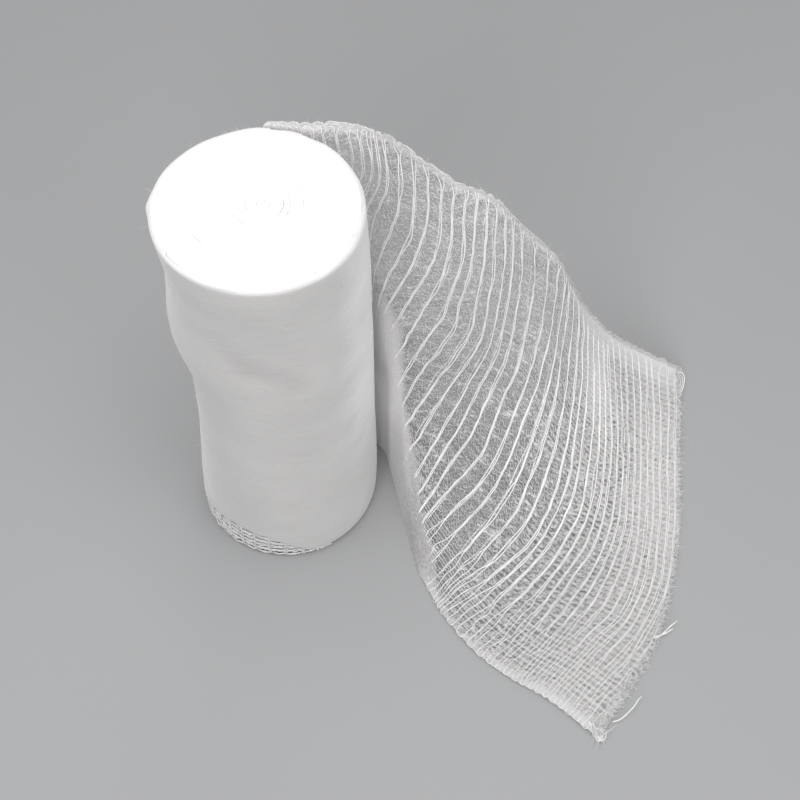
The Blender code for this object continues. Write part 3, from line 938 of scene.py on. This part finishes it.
def build_roll():
    angles = np.arange(ROLL_COLUMNS) * math.tau / ROLL_COLUMNS
    low, high = BASE_ROUND, GAUZE_WIDTH - RIM_ROUND
    rings = [(12.0, 0.0), (7.0, 0.0), (3.4, 0.0), (2.0, 0.0), (1.3, 0.14), (0.75, 0.45), (0.38, 0.85)]
    for i in range(ROLL_ROWS):
        up = low + (high - low) * i / (ROLL_ROWS - 1)
        rings.append((0.25 * (1.0 - ease((up - low) / 1.6)), up))
    last_side = len(rings) - 1
    rings += [
        (RIM_ROUND * (1.0 - math.cos(a)), high + RIM_ROUND * math.sin(a)) for a in np.radians(np.linspace(7, 78, 11))
    ]
    inset = np.array([r[0] for r in rings])[:, None] * np.ones((1, ROLL_COLUMNS))
    height = np.array([r[1] for r in rings])[:, None] * np.ones((1, ROLL_COLUMNS))
    angle = np.ones((len(rings), 1)) * angles[None]
    count = len(rings)
    relief = row_noise(count, ROLL_COLUMNS, 1.5, 6.0, 0.009, 11) + row_noise(count, ROLL_COLUMNS, 2.4, 14.0, 0.007, 12)
    relief += row_noise(count, ROLL_COLUMNS, 9.0, 16.0, 0.010, 13)
    relief += row_noise(count, ROLL_COLUMNS, 30.0, 34.0, 0.04, 14)
    # A short soft dent that runs down across the front.
    turned = np.degrees(angle) % 360.0
    line = 56.3 - (turned - 249.0) * 0.137
    dent = np.exp(-(((height - line) / 2.4) ** 2)) * ease((turned - 236) / 22) * (1 - ease((turned - 282) / 20))
    relief -= 0.11 * dent
    inside = ease(np.arange(count) / 9.0)[:, None]
    sector = selvage_sector(angle, height)
    radius = winding_radius(angle, height) - inset + relief * inside - 0.62 * sector * inside
    # The knob of loose yarn at the rim's far left.
    turn = (angle - math.radians(178.0) + math.pi) % math.tau - math.pi
    radius += 0.55 * np.exp(-((turn * 16 / 1.5) ** 2) - ((height - 72.4) / 1.6) ** 2)
    rim = ease((np.arange(count) - last_side + 6) / 12.0)[:, None]
    wavy = row_noise(2, ROLL_COLUMNS, 1.0, 7.0, 0.16, 15)[:1] + row_noise(2, ROLL_COLUMNS, 1.0, 30.0, 0.2, 16)[:1]
    height = height + rim * wavy * 0.6
    side = np.stack([radius * np.cos(angle), radius * np.sin(angle), height], -1)
    # The top face under the turns' edges.
    top = 26
    outer = radius[-1]
    part = (1.0 - np.arange(1, top + 1) / (top + 1.0))[:, None]
    top_radius = part * outer[None]
    level = height[-1][None] * part + (GAUZE_WIDTH - 0.32) * (1 - part) - 0.12 * ease((1 - part) / 0.08)
    level -= 0.25 * np.exp(-((top_radius / 2.2) ** 2))
    top_angle = np.ones((top, 1)) * angles[None]
    top_points = np.stack([top_radius * np.cos(top_angle), top_radius * np.sin(top_angle), level], -1)
    points = np.concatenate([side.reshape(-1, 3), top_points.reshape(-1, 3)])
    total = count + top
    faces = grid_faces(total, ROLL_COLUMNS, wrap=True)
    centres = np.array([[0, 0, 0.0], [0, 0, GAUZE_WIDTH - 0.75]])
    bottom_centre, top_centre = len(points), len(points) + 1
    points = np.concatenate([points, centres])
    k = np.arange(ROLL_COLUMNS)
    following = (k + 1) % ROLL_COLUMNS
    base_fan = np.stack([following, k, np.full_like(k, bottom_centre)], -1)
    last = (total - 1) * ROLL_COLUMNS
    top_fan = np.stack([last + k, last + following, np.full_like(k, top_centre)], -1)
    # The map of the weave, in millimetres round and up, and carried on in over the top and the base.
    out = np.concatenate([np.zeros(1), np.cumsum(np.hypot(np.diff(inset[:, 0]), np.diff(height[:, 0])))])
    up = np.concatenate([out, out[-1] + np.cumsum(np.full(top, 0.55))])
    i, j = np.divmod(faces, ROLL_COLUMNS)
    j = np.where((j == 0) & (np.arange(4)[None] % 3 != 0), ROLL_COLUMNS, j)
    round_mm = j * (math.tau * 15.7 / ROLL_COLUMNS)
    weave = np.stack([round_mm, up[i]], -1).reshape(-1, 2)
    fan_uv = np.zeros((ROLL_COLUMNS * 3 * 2, 2))
    fan_uv[: ROLL_COLUMNS * 3, 1] = -3.0
    fan_uv[ROLL_COLUMNS * 3 :, 1] = up[-1] + 1.0
    for block, sign in ((0, 1), (1, 1)):
        cells = fan_uv[block * ROLL_COLUMNS * 3 : (block + 1) * ROLL_COLUMNS * 3].reshape(-1, 3, 2)
        cells[:, 0, 0] = k * (98.6 / ROLL_COLUMNS)
        cells[:, 1, 0] = (k + 1) * (98.6 / ROLL_COLUMNS)
        cells[:, 2, 0] = (k + 0.5) * (98.6 / ROLL_COLUMNS)
    weave = np.concatenate([weave, fan_uv])
    # Painted shade in the recess of the open selvage at the foot and in the dent across the front.
    hollow = np.concatenate([np.maximum(0.3 * sector, 0.8 * dent).ravel(), np.zeros(top * ROLL_COLUMNS + 2)])
    # Painted light: the rim and the top face painted paler than the side, rising towards the rim.
    edge = ease((np.arange(count) - last_side + 2) / 9.0)[:, None] * np.ones((1, ROLL_COLUMNS))
    crown = np.concatenate([edge.ravel(), np.ones(top * ROLL_COLUMNS + 2)])
    # Painted light: the cloth painted paler at the two sides of the front, the right one fading out low down and the
    # left one weaker at mid height.
    turned = (angle - math.radians(-12.0) + math.pi) % math.tau - math.pi
    sides = np.exp(-((np.where(turned > 0, np.maximum(turned - 1.2, 0.0), turned) / 0.5) ** 2))
    sides *= 0.2 + 0.8 * ease((height - 16.0) / 18.0)
    turned = (angle - math.radians(196.0) + math.pi) % math.tau - math.pi
    sides += 0.45 * np.exp(-((turned / 0.5) ** 2)) * (1 - 0.9 * np.exp(-(((height - 40.0) / 9.0) ** 2)))
    sides = np.concatenate([sides.ravel(), np.zeros(top * ROLL_COLUMNS + 2)])
    return mesh_object(
        "wound_roll_cloth",
        points,
        [faces, base_fan, top_fan],
        ROLL_CLOTH,
        maps=[("weave", weave)],
        values=[("hollow", hollow), ("crown", crown), ("sides", sides)],
    )


def top_spiral():
    """The selvage of every turn, one lobed yarn wound outwards over the roll's top."""
    strands = []
    radius, angle = 0.7, math.radians(88.0)
    angles, radii = [], []
    while radius < 15.0:
        angles.append(angle)
        radii.append(radius)
        step = 0.42 / max(radius, 1.0)
        angle -= step
        radius += 0.37 * step / math.tau
    angles, radii = np.array(angles), np.array(radii)
    n = len(angles)
    outline = winding_radius(angles, np.full(n, GAUZE_WIDTH)) / 15.7
    blend = (radii / 15.0) ** 1.5
    turn = (angles[0] - angles) / math.tau
    flow = spline(rng.normal(0, 0.045, 52), np.arange(52), turn * 50 / turn[-1])
    length = np.concatenate([[0], np.cumsum(np.hypot(np.diff(radii * np.cos(angles)), np.diff(radii * np.sin(angles))))])
    lobes = np.abs(np.sin(math.pi * length / 2.3 + wander(n, n / 18, 0.7)))
    wobble = wander(n, n / 12, 0.022) + wander(n, n / 40, 0.04)
    r = radii * (1 + (outline - 1) * blend) + wobble
    edge = ease((radii - 13.2) / 2.0)
    z = GAUZE_WIDTH - 0.40 + flow + 0.07 * lobes + wander(n, n / 6, 0.025) - 0.35 * edge**2
    z -= 0.25 * np.exp(-((radii / 2.2) ** 2))
    line = np.stack([r * np.cos(angles), r * np.sin(angles), z], -1)
    up = np.tile([0.0, 0.0, 1.0], (n, 1))
    size = 0.24 * (1 + wander(n, n / 5, 0.06))
    pieces = 6
    for a, b in zip(np.linspace(0, n - 1, pieces + 1).astype(int), np.linspace(0, n - 1, pieces + 1).astype(int)[1:]):
        strands.append((line[a : b + 1], size[a : b + 1], up[a : b + 1]))
    return strands


def foot_strands():
    """The open selvage at the roll's foot: rows of warp that run round it, and the weft pairs that hold them."""
    strands = []
    angles = np.radians(np.linspace(176, 302, 300))
    top = foot_height(angles)
    arc = 15.5 * (angles - angles[0])
    posts = np.radians(np.array([183, 192.5, 201.5, 211, 220.5, 230.5, 240.5, 250, 259.5, 270, 281, 290.5]))
    gap = np.abs(angles[:, None] - posts[None]).min(1) * 15.5
    lobe = np.clip(gap / 1.35, 0, 1)
    for row, z0 in enumerate((0.30, 0.80, 1.60, 1.90, 2.80, 3.10, 4.00, 4.30, 5.20, 5.50, 6.40)):
        height = z0 + wander(300, 40, 0.09) + (0.12 * (1 - lobe) if row == 0 else 0.0)
        out = winding_radius(angles, height) - 0.62 * (row == 0) - 0.40 + wander(300, 60, 0.05)
        out += 0.5 * lobe**0.6 * (row == 0) + 0.15 * lobe * (row == 1)
        shown = top > z0 - 0.25
        if shown.sum() < 12:
            continue
        a, b = np.flatnonzero(shown)[0], np.flatnonzero(shown)[-1] + 1
        line = np.stack([out * np.cos(angles), out * np.sin(angles), height], -1)[a:b]
        size = np.clip(0.145 * (1 + wander(b - a, 70, 0.16)), 0.10, 0.20)
        strands.append((line, size, np.tile([0.0, 0.0, 1.0], (b - a, 1))))
    for post in posts:
        high = float(foot_height(post)) + 0.7
        t = np.linspace(0, 1, 16)
        for sign in (-1, 1):
            spread = sign * (0.09 + 0.16 * (1 - ease(t / 0.25)) + 0.05 * wander(16, 3, 1.0))
            angle = post + (spread + wander(16, 3, 0.05)) / 15.5
            height = 0.16 + (high - 0.16) * t
            out = winding_radius(angle, height) - 0.20 - 0.45 * ease((t - 0.8) / 0.2) - 0.6 * (1 - ease(t / 0.12))
            line = np.stack([out * np.cos(angle), out * np.sin(angle), height], -1)
            strands.append((line, 0.10 * (1 + wander(16, 6, 0.1)), np.stack([np.cos(angle), np.sin(angle), 0 * t], -1)))
    # Short yarn ends that stick out there.
    for degrees, way in ((293.5, (0.3, -0.75, -0.1)), (296.0, (0.5, -0.5, 0.15)), (238.0, (-0.2, -0.5, -0.05))):
        angle = math.radians(degrees)
        root = np.array([14.8 * math.cos(angle), 14.8 * math.sin(angle), 0.6])
        t = np.linspace(0, 1, 7)[:, None]
        line = root + t * np.array(way) * 1.1 + np.array([0.0, 0.0, 0.12]) * np.sin(t * 4)
        line[:, 2] = np.maximum(line[:, 2], 0.12)
        strands.append((line, 0.08 * (1.1 - 0.6 * t[:, 0]), np.tile([0.0, 0.0, 1.0], (7, 1))))
    return strands


def fibres(count, roots, directions, length, curl, radius=0.018, steps=6):
    """Short tapering hairs that stand off the cloth."""
    strands = []
    for k in range(count):
        root, way = roots[k], directions[k]
        size = length * rng.lognormal(0, 0.45)
        side = np.cross(way, rng.normal(size=3))
        side /= np.linalg.norm(side)
        other = np.cross(way, side)
        t = np.linspace(0, 1, steps)
        bend = rng.normal(0, curl) * t**2 + rng.normal(0, curl * 0.4) * np.sin(t * 5)
        bend2 = rng.normal(0, curl) * t**1.7
        line = root + size * (t[:, None] * way + bend[:, None] * side + bend2[:, None] * other)
        line[:, 2] = np.maximum(line[:, 2], 0.03)
        strands.append((line, radius * (1.1 - 0.9 * t), np.tile(side + 0.3 * other, (steps, 1))))
    return strands


def roll_fibres():
    strands = []
    count = 1500
    angle = rng.uniform(0, math.tau, count)
    height = GAUZE_WIDTH * rng.uniform(0, 1, count) ** 0.6
    r = winding_radius(angle, height) - 0.05
    rim = height > GAUZE_WIDTH - RIM_ROUND
    r = np.where(rim, r - (RIM_ROUND - np.sqrt(np.clip(RIM_ROUND**2 - (height - 73.0) ** 2, 0, 4))), r)
    out = np.stack([np.cos(angle), np.sin(angle), np.where(rim, 0.8, 0.0)], -1)
    roots = np.stack([r * np.cos(angle), r * np.sin(angle), height], -1)
    way = out + rng.normal(0, 0.7, (count, 3))
    way /= np.linalg.norm(way, axis=1, keepdims=True)
    strands += fibres(count, roots, way, 0.42, 0.6, 0.015, 5)
    # Over the top's edge.
    count = 500
    angle = rng.uniform(0, math.tau, count)
    r = winding_radius(angle, np.full(count, 75.0)) - rng.uniform(0.3, 3.0, count)
    roots = np.stack([r * np.cos(angle), r * np.sin(angle), np.full(count, 74.6)], -1)
    way = np.stack([np.cos(angle) * 0.5, np.sin(angle) * 0.5, np.ones(count)], -1) + rng.normal(0, 0.5, (count, 3))
    way /= np.linalg.norm(way, axis=1, keepdims=True)
    strands += fibres(count, roots, way, 0.5, 0.7, 0.016, 5)
    return strands


def cut_fringe():
    """Warps' ends and fluff at the cut end."""
    count = 2600
    u = rng.uniform(0.0, 1.0, count)
    s = 0.984 + rng.uniform(-0.008, 0.008, count)
    roots = on_tail(s, u, rng.uniform(-0.1, 0.15, count))
    ahead = on_tail(np.full(count, 1.01), u) - on_tail(np.full(count, 0.99), u)
    ahead /= np.linalg.norm(ahead, axis=1, keepdims=True)
    way = ahead + rng.normal(0, 0.6, (count, 3)) * [1, 1, 0.5]
    way /= np.linalg.norm(way, axis=1, keepdims=True)
    strands = fibres(count, roots, way, 0.42, 0.8, 0.042, 5)
    # The tangle of fluff at the lower corner.
    count = 160
    around = rng.normal(0, 1.0, (count, 3))
    around /= np.linalg.norm(around, axis=1, keepdims=True)
    roots = np.array([52.45, -48.95, 0.75]) + around * np.array([0.62, 0.85, 0.45]) * rng.uniform(0.5, 1.0, (count, 1))
    strands += fibres(count, roots, around, 0.5, 1.1, 0.06, 5)
    # Hairs along the two selvages.
    count = 330
    number = rng.uniform(0.5, 47.0, count)
    upper = rng.uniform(0, 1, count) < 0.72
    u = np.where(upper, -head_out(number) * rng.uniform(0.2, 1.0, count) / GAUZE_WIDTH, 1.0)
    places = weft_place(number, np.clip(u, 0, 1))
    roots = on_tail(places, u, rng.uniform(-0.05, 0.15, count))
    out = on_tail(places, u - 0.01) - on_tail(places, u + 0.01)
    out *= np.where(upper, 1.0, -1.0)[:, None] / np.linalg.norm(out, axis=1, keepdims=True)
    way = out + rng.normal(0, 0.6, (count, 3))
    way /= np.linalg.norm(way, axis=1, keepdims=True)
    strands += fibres(count, roots, way, 0.55, 0.6, radius=0.016)
    return strands


# Yarn ends that have come loose at the cut end and its corners: points along each, in millimetres.
LOOSE_YARNS = (
    ((62.6, -31.7, 0.7), (63.8, -31.5, 0.8), (65.1, -30.4, 0.9), (66.0, -29.6, 1.2), (67.2, -28.6, 1.0)),
    ((62.9, -31.5, 0.7), (64.2, -31.1, 0.7), (65.1, -30.8, 0.8), (66.3, -30.0, 0.9)),
    ((54.8, -46.9, 0.7), (56.0, -46.5, 0.7), (57.2, -45.6, 0.9), (58.5, -44.3, 1.1), (59.2, -43.3, 1.2), (59.9, -42.5, 1.0)),
    ((71.9, 23.9, 1.2), (73.2, 23.6, 1.0), (73.6, 22.4, 1.0), (73.3, 20.9, 1.0), (72.8, 19.4, 0.9), (72.1, 17.8, 0.7)),
    ((71.7, 23.6, 1.0), (72.8, 23.3, 0.9), (73.3, 22.3, 0.8), (73.0, 20.9, 0.8), (72.5, 19.5, 0.8), (71.9, 18.2, 0.7)),
    ((71.6, 23.2, 0.8), (72.5, 23.0, 0.7), (72.9, 22.2, 0.7), (72.7, 20.9, 0.6), (72.2, 19.7, 0.6), (71.8, 18.8, 0.6)),
    ((51.6, -47.2, 0.7), (51.9, -48.9, 0.9), (52.7, -50.2, 0.7), (53.4, -49.6, 0.6), (53.6, -48.6, 0.8)),
    ((51.0, -46.8, 0.6), (51.5, -48.6, 0.6), (52.4, -49.8, 0.5), (53.0, -49.3, 0.9), (52.8, -48.2, 0.7)),
    ((52.4, -48.0, 0.8), (52.1, -49.2, 0.8), (52.6, -49.7, 0.9), (52.9, -49.0, 0.8)),
    ((53.1, -48.2, 0.6), (52.9, -49.6, 0.5), (52.2, -50.2, 0.5), (51.8, -49.4, 0.6), (52.5, -48.6, 0.9), (53.2, -49.1, 0.6)),
)


def loose_yarns():
    strands = []
    for points in LOOSE_YARNS:
        points = np.array(points)
        count = 8 * len(points)
        line = spline(points, np.arange(len(points)), np.linspace(0, len(points) - 1, count))
        size = 0.10 * (1 + wander(count, count / 3, 0.12)) * (1 - 0.3 * ease((np.arange(count) / count - 0.7) / 0.3))
        strands.append((line, size, np.tile([0.0, 0.0, 1.0], (count, 1))))
    return strands


# ---------------------------------------------------------------------------------------------------------------
# Putting it together.


def place(obj, slot_name, *replaced):
    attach(obj, "root")
    if replaced:
        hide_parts(*replaced)
    return obj


roll = place(build_roll(), "wound_gauze", "wound_roll")
spiral = place(strands_object("wound_roll_turns", top_spiral(), WEFT_CLOTH, 5), "wound_gauze")
foot = place(strands_object("wound_roll_selvage", foot_strands(), WARP_CLOTH, 5), "wound_gauze")
fuzz = place(strands_object("wound_roll_fibres", roll_fibres(), FIBRE_CLOTH, 3), "wound_gauze")

gauze = place(fluff_sheet(), "loose_gauze", "loose_end")
wefts = place(strands_object("loose_end_wefts", weft_strands(), WEFT_CLOTH, 4), "loose_gauze")
backs = place(strands_object("loose_end_weft_backs", weft_backs(), WEFT_CLOTH, 4), "loose_gauze")
selvage = place(strands_object("loose_end_selvage", selvage_strands(), WARP_CLOTH, 4), "loose_gauze")
warps = [warp_strand(u) for u in WARPS]
for k in range(4):
    part = warps[k * len(warps) // 4 : (k + 1) * len(warps) // 4]
    place(strands_object(f"loose_end_warps_{k + 1}", part, WARP_CLOTH, 3), "loose_gauze")
fringe = place(strands_object("loose_end_fringe", cut_fringe(), FIBRE_CLOTH, 3), "loose_gauze")
loose = place(strands_object("loose_end_threads", loose_yarns(), WEFT_CLOTH, 5), "loose_gauze")

# ---------------------------------------------------------------------------------------------------------------
# Floor, light and camera.


def floor_material():
    n = Nodes("studio_floor")
    n.cloth(0.0)
    soft = n.noise(n.coords(), 7.0, 2.0)
    n.link(n.ramp(soft, (0.3, (0.37, 0.373, 0.379)), (0.7, (0.385, 0.388, 0.394))), n.shader.inputs["Base Color"])
    n.link(n.range(soft, 0.3, 0.7, 0.85, 0.92), n.shader.inputs["Roughness"])
    return n.material


def build_floor():
    half = 2500.0
    points = np.array([[-half, -half, 0], [half, -half, 0], [half, half, 0], [-half, half, 0]], float)
    floor = mesh_object("studio_floor", points, np.array([[0, 1, 2, 3]]), floor_material(), smooth=False)


def area_light(name, place, target, size, power, colour=(1, 1, 1)):
    light = bpy.data.lights.new(name, "AREA")
    light.shape = "RECTANGLE"
    light.size, light.size_y = size
    light.energy = power
    light.color = colour
    obj = bpy.data.objects.new(name, light)
    bpy.context.scene.collection.objects.link(obj)
    obj.location = Vector(place)
    obj.rotation_euler = (Vector(target) - Vector(place)).to_track_quat("-Z", "Y").to_euler()
    return obj


build_floor()
area_light("key", (-0.02, -0.05, 0.41), (0.02, 0.0, 0.03), (0.30, 0.30), 0.95)
area_light("fill_left", (-0.12, -0.62, 0.38), (0.02, 0.0, 0.03), (0.4, 0.4), 2.1)
area_light("fill_back", (0.16, 0.62, 0.30), (0.02, 0.0, 0.03), (0.5, 0.5), 0.85)
area_light("fill_right", (0.50, -0.42, 0.38), (0.02, 0.0, 0.03), (0.5, 0.5), 1.1)

world = bpy.data.worlds.new("studio")
world.use_nodes = True
world.node_tree.nodes["Background"].inputs["Color"].default_value = (1.0, 1.0, 1.0, 1.0)
world.node_tree.nodes["Background"].inputs["Strength"].default_value = 0.34
bpy.context.scene.world = world
bpy.context.scene.view_settings.view_transform = "Standard"

camera_data = bpy.data.cameras.new("camera")
camera_data.lens = 72.0
camera_data.sensor_width = 36.0
camera_data.clip_start = 0.01
camera_data.dof.use_dof = False
camera = bpy.data.objects.new("camera", camera_data)
bpy.context.scene.collection.objects.link(camera)
camera.location = (0.0199, -0.1542, 0.246)
camera.rotation_euler = (math.radians(35.0), 0.0, 0.0)
bpy.context.scene.camera = camera
